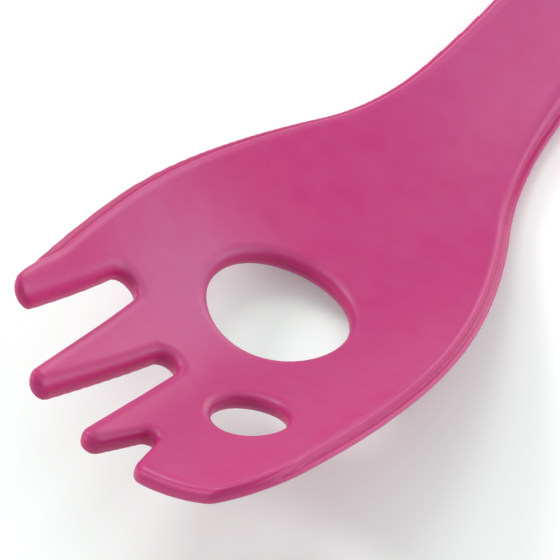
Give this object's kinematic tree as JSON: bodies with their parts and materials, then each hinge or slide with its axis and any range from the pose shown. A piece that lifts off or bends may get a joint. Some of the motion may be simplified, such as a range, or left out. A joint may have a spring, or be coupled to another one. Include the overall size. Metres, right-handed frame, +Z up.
{
  "type": "spork",
  "caption": "Cooking and serving spork in matte silicone over a stiff core: dished head with rounded tines, a straight scraping edge, round drain holes and an arched handle with a hanging hole.",
  "frame": {"origin": "middle of the tool's length and width, on the table it lies on", "axes": "+Y from the tines to the end of the handle, +X to the side with the straight scraping edge, +Z up, the bowl opens upward"},
  "size_m": [0.0704, 0.2908, 0.0425],
  "materials": {
    "silicone": "matte, pink, very slightly bloomed",
    "core_nylon": "plain moulded, dark grey"
  },
  "bodies": {
    "root": {"silicone_skin": "silicone", "nylon_core": "core_nylon"}
  },
  "joints": []
}
